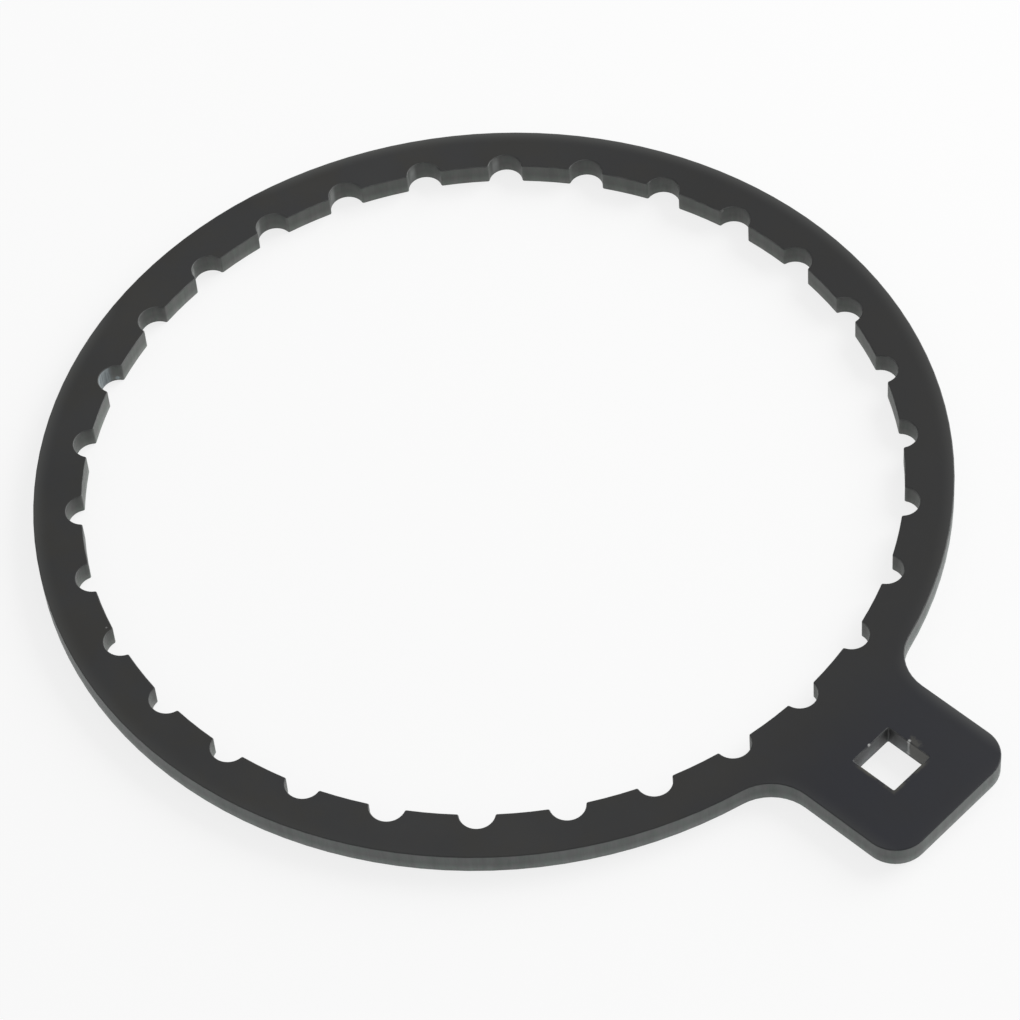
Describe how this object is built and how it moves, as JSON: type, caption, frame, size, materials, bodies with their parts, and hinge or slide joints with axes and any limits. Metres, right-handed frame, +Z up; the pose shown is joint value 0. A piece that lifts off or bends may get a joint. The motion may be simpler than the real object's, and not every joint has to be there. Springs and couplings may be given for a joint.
{
  "type": "filter housing wrench",
  "caption": "Flat ring wrench for unscrewing a round filter housing, with rounded notches round the bore for the housing's ribs and a side tab with a square drive hole.",
  "frame": {"origin": "on the axis of the ring, at the underside of the plate", "axes": "+X from the ring's axis along the middle of the tab, +Y across the tab, +Z up through the plate's thickness, along the ring's axis"},
  "size_m": [0.2725, 0.235, 0.006],
  "materials": {
    "black_coat": "satin black powder coat on steel plate"
  },
  "bodies": {
    "root": {"wrench_plate": "black_coat"}
  },
  "joints": []
}
